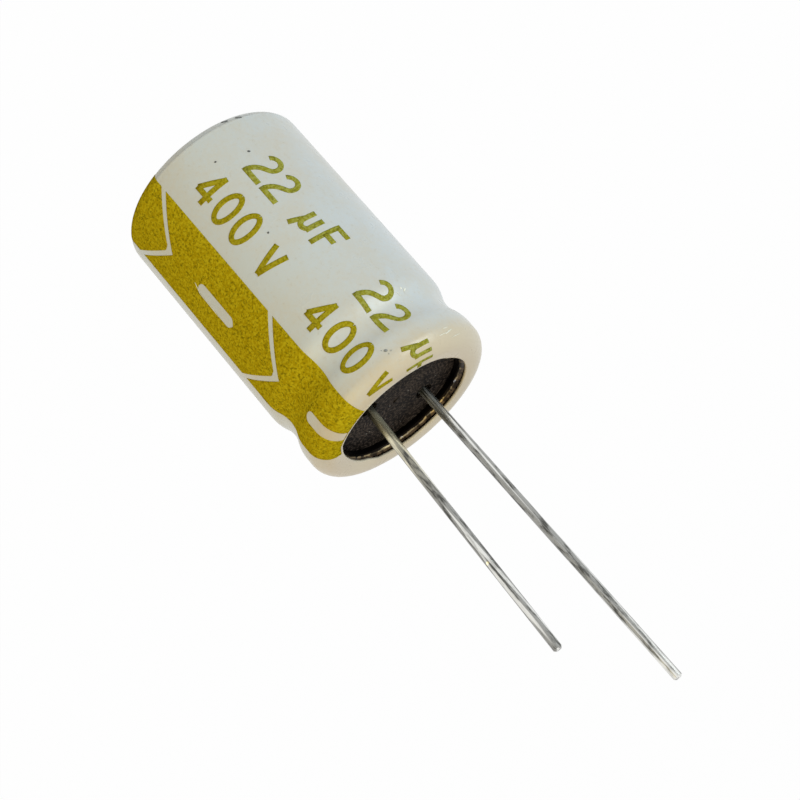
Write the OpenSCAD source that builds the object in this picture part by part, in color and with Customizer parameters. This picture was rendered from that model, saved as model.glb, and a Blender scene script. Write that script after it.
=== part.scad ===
// Radial aluminium electrolytic capacitor, standing on its vent end with its leads up.
// The origin is the centre of the vent end, +Z runs along the axis and +X points
// from the negative lead to the positive lead.

/* [Can] */
// Outer diameter of the drawn can
can_d = 12.66; // [11:0.01:16]
// Height of the can, from its closed end to the top of its curled rim
can_h = 20.26; // [17:0.01:32]
// Thickness of the can's side wall
can_wall = 0.3; // [0.2:0.01:0.35]
// Thickness of the can's closed end
can_base = 0.45; // [0.3:0.01:0.8]
// Outer corner radius round the closed end
can_corner_r = 0.75; // [0.6:0.01:1.2]
// How much smaller the can's radius is above the groove
mouth_step = 0.05; // [0:0.01:0.15]

/* [Rolled groove] */
// Distance from the top of the rim down to the middle of the groove
bead_drop = 3.3; // [3.1:0.01:3.5]
// Depth of the groove in the can
bead_depth = 0.9; // [0.6:0.01:1]
// Radius at the bottom of the groove
bead_r = 0.8; // [0.7:0.01:0.9]
// Radius where the groove runs out into the wall
bead_run_out_r = 1.6; // [1.5:0.01:1.7]

/* [Curled rim] */
// Radius of the shoulder where the wall turns in
shoulder_r = 1.05; // [0.9:0.01:1.15]
// Width of the rim, from the wall to the bore inside the curl
rim_w = 1.83; // [1.78:0.01:2.2]
// Radius of the curl's turned-down edge
curl_r = 0.6; // [0.5:0.01:0.68]
// How deep the edge of the curl presses into the bung
curl_bite = 0.2; // [0.1:0.01:0.4]

/* [Pressure vent] */
// Length of each line scored into the closed end
score_l = 7; // [4:0.1:9]
// Width of a scored line
score_w = 0.25; // [0.15:0.01:0.5]
// Depth of a scored line
score_depth = 0.2; // [0.1:0.01:0.28]
// Number of lines that cross in the middle
score_lines = 2; // [1:1:3]

/* [Sleeve] */
// Thickness of the shrunk film
sleeve_wall = 0.15; // [0.08:0.01:0.25]
// How far the film wraps in over the closed end
vent_lip_w = 1.6; // [1.1:0.01:2.6]
// How far the film wraps in over the curled rim
mouth_lip_w = 1.83; // [1.6:0.01:2]
// How much farther the film reaches in on the side where it shrank unevenly
lip_fold = 0.5; // [0:0.01:0.8]
// Direction of that side, in degrees from the positive lead
lip_fold_side = 229.6; // [0:0.1:360]
// Radius of the flattened edge on that side
lip_fold_r = 7; // [6:0.1:12]
// How far the free edge of the film sags below the top
lip_sag = 0.3; // [0.1:0.01:0.5]
// Depth to which the film shrinks into the groove
dip_depth = 0.4; // [0.1:0.01:0.42]
// Radius at the bottom of the dip in the film
dip_r = 2.2; // [2:0.01:2.3]
// Radius where the dip runs out into the film
dip_run_out_r = 2.2; // [2:0.01:2.3]

/* [Rubber bung] */
// Thickness of the bung
bung_h = 5; // [4.8:0.01:6]
// Distance from the top of the rim down to the face of the bung
bung_recess = 0.83; // [0.8:0.01:1]
// Chamfer round the inner end of the bung
bung_chamfer = 0.4; // [0.1:0.01:0.6]
// Chamfer round the outer face of the bung
bung_edge = 0.3; // [0.25:0.01:0.4]
// Diameter of each hole where it opens in the face
hole_mouth_d = 1.2; // [0.9:0.01:1.5]
// Depth of that narrow mouth, down to the step that holds the terminal
hole_mouth_depth = 1.2; // [0.8:0.01:2]
// Diameter of the moulding mark in the middle of the face
gate_d = 0.5; // [0.2:0.01:1]
// Height of the moulding mark
gate_h = 0.08; // [0.03:0.01:0.2]

/* [Leads] */
// Distance between the leads at the face of the bung
lead_pitch = 5; // [4:0.01:6]
// Diameter of the tinned wires
lead_d = 0.6; // [0.45:0.01:0.8]
// Length of the negative lead, from the face of the bung
negative_l = 18.6; // [5:0.1:30]
// Length of the positive lead, from the face of the bung
positive_l = 23.4; // [6:0.1:35]
// Outward lean of the negative lead in degrees
negative_lean = 2.8; // [0:0.1:5]
// Outward lean of the positive lead in degrees
positive_lean = 1.1; // [0:0.1:5]
// Chamfer round each cut end
lead_tip = 0.1; // [0.02:0.01:0.2]
// Diameter of the weld flash where a wire meets its terminal
flash_d = 0.95; // [0.85:0.01:1.1]
// Height of the weld flash
flash_h = 0.4; // [0.2:0.01:0.7]
// How much thicker than the wire its neck is, just above the flash
neck_extra = 0.08; // [0.02:0.01:0.12]
// How far above the face of the bung the neck runs out into the wire
neck_rise = 0.1; // [0.05:0.01:0.3]

/* [Terminals] */
// Diameter of the aluminium rod that fills the bung's hole
rod_d = 1.8; // [1.6:0.01:2.4]
// Width of the flat tab inside the roll
tab_w = 2; // [1.6:0.01:2.4]
// Thickness of the flat tab
tab_t = 0.25; // [0.15:0.01:0.4]
// Height over which the rod is pressed flat into the tab
flatten_h = 0.75; // [0.4:0.01:1]
// Distance from the lower edge of the foils up to the end of the tab
tab_inset = 1.2; // [0.5:0.1:3]
// Number of stitches that fix a tab to its foil
stitches = 4; // [2:1:6]
// Diameter of a stitch
stitch_d = 0.7; // [0.4:0.01:1]
// Depth of the dimple that a stitch leaves
stitch_depth = 0.06; // [0.02:0.01:0.08]

/* [Wound roll] */
// Gap between the roll and the can's wall
roll_gap = 0.45; // [0.3:0.01:1]
// Gap between the roll and the inner end of the bung
head_gap = 0.85; // [0.6:0.01:2]
// Diameter of the hole that the winding pin leaves
core_d = 2.6; // [2:0.01:3]
// How far the paper stands out past the foils at each end
paper_over = 0.6; // [0.3:0.01:1]
// Thickness of the turns of paper that stand out
paper_t = 0.14; // [0.08:0.01:0.2]
// Number of turns of paper that stand out
paper_turns = 9; // [5:1:12]

/* [Tape] */
// Width of the tape that holds the roll closed
tape_w = 9; // [4:0.1:11]
// Thickness of the tape
tape_t = 0.08; // [0.04:0.01:0.12]
// Angle over which the end of the tape laps over its start
tape_lap = 50; // [10:1:120]

/* [Fits] */
// Clearance between pieces that seat on each other
fit_gap = 0.02; // [0.01:0.01:0.04]

/* [Hidden] */
$fn = 96;
ARC_STEPS = 8;
TURN_STEPS = 20;

can_r = can_d / 2;
mouth_r = can_r - mouth_step;
rim_r = mouth_r - rim_w;
film = fit_gap + sleeve_wall;
can_z = film;
top_z = can_z + can_h;
bead_z = top_z - bead_drop;
overall_h = top_z + film;

face_z = top_z - bung_recess;
bung_z = face_z - bung_h;
rod_top_z = face_z - hole_mouth_depth - fit_gap;

roll_r = can_r - can_wall - roll_gap;
roll_z = can_z + can_base + fit_gap;
roll_top_z = bung_z - head_gap;
foil_z = roll_z + paper_over;
foil_top_z = roll_top_z - paper_over;
tab_z = foil_z + tab_inset;
tab_top_z = bung_z - flatten_h;
core_r = core_d / 2;

vent_lip_r = can_r + film - vent_lip_w;
mouth_lip_r = mouth_r + film - mouth_lip_w;
lip_reach_r = mouth_lip_r - lip_fold - 2 * sleeve_wall;

// Points of an arc about c, with both of its ends
function arc(c, r, a0, a1, n = ARC_STEPS) =
    [for (i = [0:n]) c + r * [cos(a0 + (a1 - a0) * i / n), sin(a0 + (a1 - a0) * i / n)]];

// Points of an arc about c, without its ends
function inner_arc(c, r, a0, a1, n = ARC_STEPS) =
    [for (i = [1:n - 1]) c + r * [cos(a0 + (a1 - a0) * i / n), sin(a0 + (a1 - a0) * i / n)]];

// The same path, run the other way
function backwards(path) = [for (i = [len(path) - 1:-1:0]) path[i]];

// Outline of a rolled groove at height z, from a wall of radius r1 below it to a wall of
// radius r2 above it, moved in by the distance inset
function groove(r1, r2, z, depth, r, run_out, inset) =
    let (reach = r + run_out,
         centre = r1 - depth + r,
         a1 = acos((centre - r1 + run_out) / reach),
         a2 = acos((centre - r2 + run_out) / reach))
    concat(arc([r1 - run_out, z - reach * sin(a1)], run_out - inset, 0, a1),
           inner_arc([centre, z], r + inset, 180 + a1, 180 - a2),
           arc([r2 - run_out, z + reach * sin(a2)], run_out - inset, -a2, 0));

// Outline of the can's groove, moved in by the distance inset
function can_groove(inset) =
    groove(can_r, mouth_r, bead_z, bead_depth, bead_r, bead_run_out_r, inset);

// Outline of the dip that the film takes over the groove, moved in by the distance inset
function film_dip(inset) =
    groove(can_r + film, mouth_r + film, bead_z, dip_depth, dip_r, dip_run_out_r, inset);

// Outline of the shoulder of the rim, moved in by the distance inset
function shoulder(inset) =
    arc([mouth_r - shoulder_r, top_z - shoulder_r], shoulder_r - inset, 0, 90);

// Outline of the turned-down edge of the rim, moved in by the distance inset
function curl(inset) =
    arc([rim_r + curl_r, top_z - curl_r], curl_r - inset, 90, 180);

// Outline of the film's free edge over the rim, its height lowered by the distance inset
function sagging_lip(inset) =
    let (start = rim_r + curl_r)
    [for (i = [0:ARC_STEPS]) let (s = i / ARC_STEPS)
        [start + (lip_reach_r - start) * s, overall_h - inset - lip_sag * s * s]];

// Spiral strip of thickness t, from radius r0 out to radius r1
module spiral(r0, r1, t, turns) {
    rise = (r1 - t - r0) / (turns * TURN_STEPS);
    steps = turns * TURN_STEPS;
    turn = 360 / TURN_STEPS;
    polygon(concat(
        [for (i = [0:steps]) (r0 + rise * i + t) * [cos(turn * i), sin(turn * i)]],
        [for (i = [steps:-1:0]) (r0 + rise * i) * [cos(turn * i), sin(turn * i)]]));
}

// Heat-shrunk film that follows the can and wraps in over both of its ends
module sleeve() {
    color("#d2d0c4")
    difference() {
        rotate_extrude()
        polygon(concat(
            [[vent_lip_r, 0]],
            arc([can_r - can_corner_r, can_z + can_corner_r], can_corner_r + film, -90, 0),
            film_dip(0),
            shoulder(-film),
            sagging_lip(0),
            backwards(sagging_lip(sleeve_wall)),
            backwards(shoulder(-fit_gap)),
            backwards(film_dip(sleeve_wall)),
            arc([can_r - can_corner_r, can_z + can_corner_r], can_corner_r + fit_gap, 0, -90),
            [[vent_lip_r, sleeve_wall]]));
        translate([0, 0, face_z])
            linear_extrude(height = overall_h)
                lip_opening();
    }
}

// Opening in the film over the rim: round, with one flatter side
module lip_opening() {
    intersection() {
        circle(r = mouth_lip_r);
        rotate(lip_fold_side)
            translate([mouth_lip_r - lip_fold - lip_fold_r, 0])
                circle(r = lip_fold_r);
    }
}

// Lines scored into the closed end, where the can opens when its pressure rises
module vent_score() {
    for (i = [0:score_lines - 1])
        rotate(i * 180 / score_lines)
            translate([-score_l / 2, -score_w / 2, can_z - 1])
                cube([score_l, score_w, 1 + score_depth]);
}

// Drawn can with its scored end, rolled groove and curled rim
module can() {
    base_top = can_z + can_base;
    inner_r = can_r - can_wall;
    inner_corner_r = can_corner_r - can_wall;
    edge_z = face_z - curl_bite + fit_gap;
    color("#c8cacc")
    difference() {
        rotate_extrude()
        polygon(concat(
            [[0, can_z]],
            arc([can_r - can_corner_r, can_z + can_corner_r], can_corner_r, -90, 0),
            can_groove(0),
            shoulder(0),
            curl(0),
            [[rim_r, edge_z], [rim_r + can_wall, edge_z]],
            backwards(curl(can_wall)),
            backwards(shoulder(can_wall)),
            backwards(can_groove(can_wall)),
            arc([inner_r - inner_corner_r, base_top + inner_corner_r], inner_corner_r, 0, -90),
            [[0, base_top]]));
        vent_score();
    }
}

// Stepped hole for one terminal: a narrow mouth round the wire, wider below it for the rod
module terminal_hole() {
    translate([0, 0, rod_top_z])
        cylinder(d = hole_mouth_d, h = hole_mouth_depth + 1);
    translate([0, 0, bung_z - 1])
        cylinder(d = rod_d + 2 * fit_gap, h = rod_top_z + fit_gap - bung_z + 1);
}

// Moulded rubber bung, gripped by the groove and held down by the curled rim
module bung() {
    inset = can_wall + fit_gap;
    side_r = can_r - inset;
    face_r = mouth_r - inset;
    color("#232022")
    difference() {
        union() {
            rotate_extrude()
            polygon(concat(
                [[0, bung_z], [side_r - bung_chamfer, bung_z], [side_r, bung_z + bung_chamfer]],
                can_groove(inset),
                [[face_r, face_z - bung_edge], [face_r - bung_edge, face_z], [0, face_z]]));
            translate([0, 0, face_z - gate_h])
                cylinder(d = gate_d, h = 2 * gate_h);
        }
        translate([0, 0, face_z - curl_bite])
            difference() {
                cylinder(r = rim_r + can_wall + fit_gap, h = curl_bite + 1);
                translate([0, 0, -1])
                    cylinder(r = rim_r - fit_gap, h = curl_bite + 3);
            }
        for (side = [-1, 1])
            translate([side * lead_pitch / 2, 0, 0])
                terminal_hole();
    }
}

// Tinned wire with a neck and a weld flash at its foot, leaning outward; side is 1 or -1
module lead(side, length, lean) {
    foot = face_z - rod_top_z;
    lead_r = lead_d / 2;
    neck_r = (lead_d + neck_extra) / 2;
    flash_r = flash_d / 2;
    spare = lead_r;
    color("#b9bbb6")
    difference() {
        translate([side * lead_pitch / 2, 0, face_z])
            rotate([0, side * lean, 0])
                rotate_extrude()
                    polygon([[0, -foot - spare], [flash_r, -foot - spare],
                             [flash_r, -foot + flash_h / 4], [neck_r, -foot + flash_h],
                             [lead_r, neck_rise], [lead_r, length - lead_tip],
                             [lead_r - lead_tip, length], [0, length]]);
        translate([side * lead_pitch / 2 - 2 * flash_d, -2 * flash_d, rod_top_z - 4 * flash_d])
            cube(4 * flash_d);
    }
}

// Longer lead, on the anode
module lead_positive() {
    lead(1, positive_l, positive_lean);
}

// Shorter lead, on the cathode
module lead_negative() {
    lead(-1, negative_l, negative_lean);
}

// Aluminium terminal: a rod in the bung, pressed flat below it into a tab inside the roll.
// The stitches are on the side that faces the axis.
module terminal(side) {
    chamfer = tab_w / 4;
    half = tab_w / 2;
    translate([side * lead_pitch / 2, 0, 0]) {
        translate([0, 0, bung_z])
            cylinder(d = rod_d, h = rod_top_z - bung_z);
        intersection() {
            translate([0, 0, tab_top_z - 0.1])
                cylinder(d = rod_d, h = flatten_h + 0.1);
            rotate([90, 0, 0])
                linear_extrude(height = 2 * rod_d, center = true)
                    polygon([[-tab_t / 2, tab_top_z - 0.1], [tab_t / 2, tab_top_z - 0.1],
                             [rod_d / 2 + 0.2, bung_z], [-rod_d / 2 - 0.2, bung_z]]);
        }
        difference() {
            rotate([90, 0, 90])
                linear_extrude(height = tab_t, center = true)
                    polygon([[-half, tab_top_z], [-half, tab_z + chamfer], [-half + chamfer, tab_z],
                             [half - chamfer, tab_z], [half, tab_z + chamfer], [half, tab_top_z]]);
            for (i = [1:stitches])
                translate([-side * tab_t / 2, 0, tab_z + (roll_top_z - tab_z) * i / (stitches + 1)])
                    rotate([0, 90, 0])
                        cylinder(d = stitch_d, h = 2 * stitch_depth, center = true);
        }
    }
}

// Terminal of the anode foil
module anode_tab() {
    color("#d4d6d8") terminal(1);
}

// Terminal of the cathode foil
module cathode_tab() {
    color("#d4d6d8") terminal(-1);
}

// Foils and paper wound into one roll, the paper standing out past the foils at both ends
module winding() {
    slot_t = tab_t + 2 * fit_gap;
    slot_w = tab_w + 2 * fit_gap;
    color("#c9b48a")
    difference() {
        union() {
            translate([0, 0, foil_z])
                cylinder(r = roll_r, h = foil_top_z - foil_z);
            translate([0, 0, roll_z])
                linear_extrude(height = roll_top_z - roll_z)
                    spiral(core_r - paper_t, roll_r - paper_t, paper_t, paper_turns);
        }
        translate([0, 0, roll_z - 1])
            cylinder(d = core_d, h = roll_top_z - roll_z + 2);
        for (side = [-1, 1])
            translate([side * lead_pitch / 2 - slot_t / 2, -slot_w / 2, tab_z - fit_gap])
                cube([slot_t, slot_w, roll_top_z]);
    }
}

// Tape once round the roll, its end lapped over its start
module winding_tape() {
    middle_z = (foil_z + foil_top_z) / 2;
    inner_r = roll_r + fit_gap;
    color("#d9c77e")
    translate([0, 0, middle_z - tape_w / 2]) {
        rotate_extrude()
            translate([inner_r, 0])
                square([tape_t, tape_w]);
        rotate_extrude(angle = tape_lap)
            translate([inner_r + tape_t / 2, 0])
                square([tape_t * 3 / 2, tape_w]);
    }
}

sleeve();
can();
bung();
lead_positive();
lead_negative();
anode_tab();
cathode_tab();
winding();
winding_tape();
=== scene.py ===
"""Dresses a radial electrolytic capacitor: printed film, aluminium can, bung and tinned wires.

The part stands on its vent end at the origin, with its leads along +Z. Sizes are in millimetres
until a mesh is made, and in metres after that.
"""

import logging
import math
from dataclasses import dataclass
from enum import Enum
from typing import Any, Mapping, Protocol, Sequence, Union

import bpy
import numpy as np
from mathutils import Matrix, Vector

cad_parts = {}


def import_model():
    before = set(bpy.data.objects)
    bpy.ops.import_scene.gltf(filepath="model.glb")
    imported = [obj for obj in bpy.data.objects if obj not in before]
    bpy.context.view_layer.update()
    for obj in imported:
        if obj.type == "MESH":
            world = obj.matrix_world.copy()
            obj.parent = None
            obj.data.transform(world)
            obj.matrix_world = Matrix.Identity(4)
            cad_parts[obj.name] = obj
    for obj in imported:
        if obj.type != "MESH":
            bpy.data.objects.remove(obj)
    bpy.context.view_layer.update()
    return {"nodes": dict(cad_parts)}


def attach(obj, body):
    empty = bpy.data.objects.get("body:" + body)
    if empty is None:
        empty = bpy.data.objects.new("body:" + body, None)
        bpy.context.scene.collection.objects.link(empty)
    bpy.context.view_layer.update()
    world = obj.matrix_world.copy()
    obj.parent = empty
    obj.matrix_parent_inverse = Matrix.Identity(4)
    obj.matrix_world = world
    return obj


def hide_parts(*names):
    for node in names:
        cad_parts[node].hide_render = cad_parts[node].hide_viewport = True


log = logging.getLogger("capacitor")

MM = 0.001
BODY = "root"

Colour = tuple[float, float, float]
Span = tuple[float, float]
Number = Union[float, "Signal"]


# Shader maths


def add_node(
    tree: bpy.types.NodeTree, kind: str, sockets: Mapping[Any, Any] | None = None, **settings: Any
) -> bpy.types.Node:
    """Makes one node.

    Args:
        tree: The node tree that it goes into.
        kind: The node's type.
        sockets: The value or the link of each input, by name or number.
        settings: Its properties, which are set first.

    Returns:
        The node.
    """
    node = tree.nodes.new(kind)
    for name, setting in settings.items():
        setattr(node, name, setting)
    for name, given in (sockets or {}).items():
        if isinstance(given, Signal):
            tree.links.new(given.socket, node.inputs[name])
        elif isinstance(given, bpy.types.NodeSocket):
            tree.links.new(given, node.inputs[name])
        else:
            node.inputs[name].default_value = given
    return node


@dataclass(frozen=True)
class Signal:
    """A number that varies over a surface, written in sums: each operation adds one Math node.

    It wraps the output socket that carries the number, and the node tree that holds it.
    """

    tree: bpy.types.NodeTree
    socket: bpy.types.NodeSocket

    def _maths(self, operation: str, *terms: Number) -> "Signal":
        """Result of one Math node, whose terms are signals or plain numbers."""
        node = add_node(self.tree, "ShaderNodeMath", dict(enumerate(terms)), operation=operation)
        return Signal(self.tree, node.outputs[0])

    def __add__(self, other: Number) -> "Signal":
        """Sum."""
        return self._maths("ADD", self, other)

    def __mul__(self, other: Number) -> "Signal":
        """Product."""
        return self._maths("MULTIPLY", self, other)

    def __sub__(self, other: Number) -> "Signal":
        """Difference."""
        return self._maths("SUBTRACT", self, other)

    def __pow__(self, other: Number) -> "Signal":
        """Power."""
        return self._maths("POWER", self, other)

    def sine(self) -> "Signal":
        """Sine of the signal in radians."""
        return self._maths("SINE", self)

    def larger(self, other: "Signal") -> "Signal":
        """The larger of two signals."""
        return self._maths("MAXIMUM", self, other)

    def step(self, low: float, high: float) -> "Signal":
        """Smooth step from 0 at low to 1 at high, which may be below low."""
        sockets = {"Value": self, "From Min": low, "From Max": high}
        node = add_node(self.tree, "ShaderNodeMapRange", sockets, interpolation_type="SMOOTHSTEP")
        return Signal(self.tree, node.outputs[0])

    def band(self, rise: Span, fall: Span) -> "Signal":
        """1 between two spans: a step up over the first times a step down over the second."""
        return self.step(*rise) * self.step(*fall)


class Paint:
    """A material in the making: one Principled shader and the nodes that feed it."""

    def __init__(
        self, name: str, roughness: float, metallic: float = 0.0, sheen: float = 0.5
    ) -> None:
        """Starts a material.

        Args:
            name: The material's name.
            roughness: Its plain roughness.
            metallic: 1 for bare metal.
            sheen: How strongly its surface reflects, 0.5 for plain plastic and 0 for none.
        """
        self.material = bpy.data.materials.new(name)
        self.material.use_nodes = True
        self.tree = self.material.node_tree
        self.shader = self.tree.nodes["Principled BSDF"]
        plain = {"Roughness": roughness, "Metallic": metallic, "Specular IOR Level": sheen}
        for socket, value in plain.items():
            self.shader.inputs[socket].default_value = value
        self.place = self.node("ShaderNodeTexCoord").outputs["Object"]

    def node(
        self, kind: str, sockets: Mapping[Any, Any] | None = None, **settings: Any
    ) -> bpy.types.Node:
        """Makes one node of this material, as add_node does."""
        return add_node(self.tree, kind, sockets, **settings)

    def noise(
        self,
        scale: float,
        detail: float = 3.0,
        rough: float = 0.55,
        place: bpy.types.NodeSocket | None = None,
    ) -> Signal:
        """Cloudy noise around 0.5.

        Args:
            scale: Lumps per metre.
            detail: Octaves.
            rough: How strong the finer octaves are.
            place: Coordinates, or none for the object's own.

        Returns:
            The noise.
        """
        place = place or self.place
        sockets = {"Vector": place, "Scale": scale, "Detail": detail, "Roughness": rough}
        return Signal(self.tree, self.node("ShaderNodeTexNoise", sockets).outputs[0])

    def streaks(self, scale: Sequence[float], detail: float = 3.0, rough: float = 0.6) -> Signal:
        """Noise with a scale of its own along each axis, for grain that runs one way."""
        node = self.node("ShaderNodeMapping", {"Vector": self.place, "Scale": scale})
        return self.noise(1.0, detail, rough, node.outputs[0])

    def cells(self, scale: float) -> Signal:
        """Distance to the nearest of scattered points, scale of them per metre."""
        node = self.node("ShaderNodeTexVoronoi", {"Vector": self.place, "Scale": scale})
        return Signal(self.tree, node.outputs["Distance"])

    def axes(self) -> tuple[Signal, Signal, Signal]:
        """The object's x, y and z in metres."""
        node = self.node("ShaderNodeSeparateXYZ", {0: self.place})
        x, y, z = (Signal(self.tree, out) for out in node.outputs)
        return x, y, z

    def from_axis(self) -> Signal:
        """Distance from the part's axis in metres."""
        x, y, _ = self.axes()
        return (x * x + y * y) ** 0.5

    def near(self, point: Sequence[float], inner: float, outer: float) -> Signal:
        """Spot round a point, 1 within inner and 0 past outer, all in metres."""
        node = self.node("ShaderNodeVectorMath", {0: self.place, 1: point}, operation="DISTANCE")
        return Signal(self.tree, node.outputs["Value"]).step(outer, inner)

    def mix(self, share: Number, first: Any, second: Any) -> bpy.types.NodeSocket:
        """Mix of two colours.

        Args:
            share: How much of the second there is.
            first: A colour or a colour socket.
            second: A colour or a colour socket.

        Returns:
            The mixed colour.
        """
        sockets = {0: share}
        for slot, colour in ((6, first), (7, second)):
            sockets[slot] = colour if isinstance(colour, bpy.types.NodeSocket) else (*colour, 1.0)
        return self.node("ShaderNodeMix", sockets, data_type="RGBA").outputs[2]

    def colour(self, colour: bpy.types.NodeSocket) -> None:
        """Feeds the base colour."""
        self.tree.links.new(colour, self.shader.inputs["Base Color"])

    def roughness(self, signal: Signal) -> None:
        """Feeds the roughness."""
        self.tree.links.new(signal.socket, self.shader.inputs["Roughness"])

    def relief(self, height: Signal, depth: float) -> None:
        """Feeds a bump of that height in metres for a signal of 1."""
        bump = self.node("ShaderNodeBump", {"Height": height, "Strength": 1.0, "Distance": depth})
        self.tree.links.new(bump.outputs[0], self.shader.inputs["Normal"])


# Finishes


class Finish(Protocol):
    """What makes a material. Its spans are in metres, from where a change starts to its end."""

    def paint(self) -> bpy.types.Material:
        """Makes the material."""


@dataclass(frozen=True)
class Film:
    """Shrunk film: pale, semi-gloss, faintly cloudy, with painted warm light to the mouth, painted
    shade round the vent corner, and shrink marks.
    """

    pale: Colour = (0.553, 0.578, 0.588)
    # Warm tone of the cloudy colour, and also of the painted warm light.
    warm: Colour = (0.575, 0.492, 0.366)
    # Colour of the dirt specks, and of the painted shade round the vent corner.
    stain_and_shade: Colour = (0.30, 0.29, 0.25)
    gloss: float = 0.3
    orange_peel: float = 0.000012
    # Heights over which warm light is painted on: towards the mouth, then again over the lip.
    warm_light_z: Span = (0.0184, 0.0202)
    lip_z: Span = (0.0203, 0.0206)
    # Heights over which painted shade darkens the vent corner.
    corner_shade_z: Span = (0.00062, 0.0003)
    neck_z: tuple[Span, Span] = ((0.0135, 0.0165), (0.0206, 0.0195))
    crease_z: tuple[Span, Span] = ((0.00052, 0.00066), (0.00086, 0.0007))

    def paint(self) -> bpy.types.Material:
        """Colour from slow clouds with dirt specks, painted warm light and painted corner shade,
        roughness from finer clouds, relief from peel and shrink marks.
        """
        paint = Paint("sleeve_film", self.gloss)
        _, _, z = paint.axes()
        clouds = paint.noise(230.0, 3.0)
        specks = paint.noise(3600.0, 4.0, 0.7)
        # Painted warm light: the warm tone rises towards the mouth and again over the lip, on top
        # of cloudy random tone.
        warmth = (clouds - 0.5) * 1.4 + (specks - 0.5) * 0.8 + z.step(*self.warm_light_z) * 0.8 + 0.16
        warmth = warmth + z.step(*self.lip_z) * 0.3
        # Dirt specks, and painted shade round the vent corner.
        dirt_and_corner_shade = specks.step(0.58, 0.78) * 0.29 + z.step(*self.corner_shade_z) * 0.04
        paint.colour(paint.mix(dirt_and_corner_shade, paint.mix(warmth, self.pale, self.warm), self.stain_and_shade))
        paint.roughness(paint.noise(900.0, 2.0) * 0.16 + (self.gloss - 0.08))
        shrink = paint.streaks((900.0, 900.0, 130.0))
        peel = paint.noise(1500.0, 2.0, 0.5)
        marks = shrink * z.band(*self.neck_z) * 2.0 + z.band(*self.crease_z) * 3.0
        paint.relief(peel * 0.6 + marks, self.orange_peel)
        return paint.material


@dataclass(frozen=True)
class Ink:
    """Olive-gold ink, mottled where it lies thin and a little darker in its grains."""

    name: str = "olive_ink"
    full: Colour = (0.38, 0.27, 0.003)
    thin: Colour = (0.54, 0.43, 0.012)
    dark: Colour = (0.15, 0.12, 0.003)

    def paint(self) -> bpy.types.Material:
        """Fine mottling between the full and the thin coat, with sparse darker grains."""
        paint = Paint(self.name, 0.45, sheen=0.0)
        mottle = paint.noise(5200.0, 3.0, 0.7).step(0.42, 0.6)
        grains = paint.noise(7000.0, 2.0, 0.6).step(0.5, 0.66) * 0.75
        drift = paint.noise(330.0, 2.0).step(0.35, 0.7) * 0.35
        coat = paint.mix(mottle * 0.75 + drift * 0.3, self.full, self.thin)
        paint.colour(paint.mix(grains, coat, self.dark))
        paint.relief(paint.noise(4200.0, 3.0, 0.6), 0.000006)
        return paint.material


@dataclass(frozen=True)
class Bare:
    """A scuff, a speck or a painted glint on the film and its ink, in two close tones."""

    name: str
    base: Colour
    mark: Colour
    gloss: float = 0.4

    def paint(self) -> bpy.types.Material:
        """The two tones in fine clouds."""
        paint = Paint(self.name, self.gloss)
        paint.colour(paint.mix(paint.noise(4000.0, 3.0).step(0.35, 0.7), self.base, self.mark))
        paint.relief(paint.noise(5000.0), 0.000003)
        return paint.material


@dataclass(frozen=True)
class Aluminium:
    """Drawn aluminium: satin, with draw lines along the wall and a darker oxide bloom.

    Where a height is given for the line round its rim, the rim is painted: a brown reflection
    on the curl, shade past that line, and near-black shade beside it and on top, with soot patches.
    """

    name: str
    bright: Colour = (0.70, 0.70, 0.71)
    bloom: Colour = (0.42, 0.41, 0.40)
    gloss: float = 0.3
    grain: tuple[float, float, float] = (2600.0, 2600.0, 120.0)
    rim_line: float | None = None
    # Heights over which the rim's painted reflection and shade begin.
    rim_z: Span = (0.0192, 0.0194)
    # Brown of the painted shade past the line.
    shade: Colour = (0.075, 0.05, 0.027)
    # Brown of the painted reflection on the curl.
    curl_reflection: Colour = (0.26, 0.20, 0.11)
    # Near-black of the painted shade beside the line, also used for patches of soot.
    shade_and_soot: Colour = (0.008, 0.006, 0.005)

    def _rim(self, paint: Paint, wall: bpy.types.NodeSocket) -> bpy.types.NodeSocket:
        """The rim's colour over the wall's: a painted brown reflection, painted shade past the
        line, and painted shade with soot beside it.
        """
        _, _, z = paint.axes()
        rim = z.step(*self.rim_z)
        over = z + (paint.noise(1600.0, 3.0) - 0.5) * 0.0002 - self.rim_line
        # Painted reflection: the curl is brown, broken by noise to bare metal.
        curl_reflection = paint.mix(paint.noise(1900.0, 3.0).step(0.58, 0.7), self.curl_reflection, wall)
        # Painted shade past the line.
        shaded = paint.mix(over.step(0.00002, 0.00006), paint.mix(rim, wall, curl_reflection), self.shade)
        # Painted shade just below the line and on the curl's top, with patches of soot over the
        # rim.
        broken = paint.noise(2600.0, 3.0).step(0.56, 0.44) * 0.85
        shade_and_soot_share = (over.step(-0.00002, -0.00006) + broken) * rim + over.step(0.00026, 0.0003)
        return paint.mix(shade_and_soot_share, shaded, self.shade_and_soot)

    def paint(self) -> bpy.types.Material:
        """Lines from stretched noise in colour, roughness and relief; on a rim, painted reflection
        and shade.
        """
        paint = Paint(self.name, self.gloss, 1.0)
        lines = paint.streaks(self.grain, 4.0, 0.65)
        bloom = paint.noise(420.0, 3.0).step(0.45, 0.75) * 0.5
        colour = paint.mix(bloom + (lines - 0.5) * 0.5, self.bright, self.bloom)
        paint.colour(colour if self.rim_line is None else self._rim(paint, colour))
        paint.roughness(lines * 0.22 + (self.gloss - 0.08))
        paint.relief(lines, 0.000008)
        return paint.material


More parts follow.
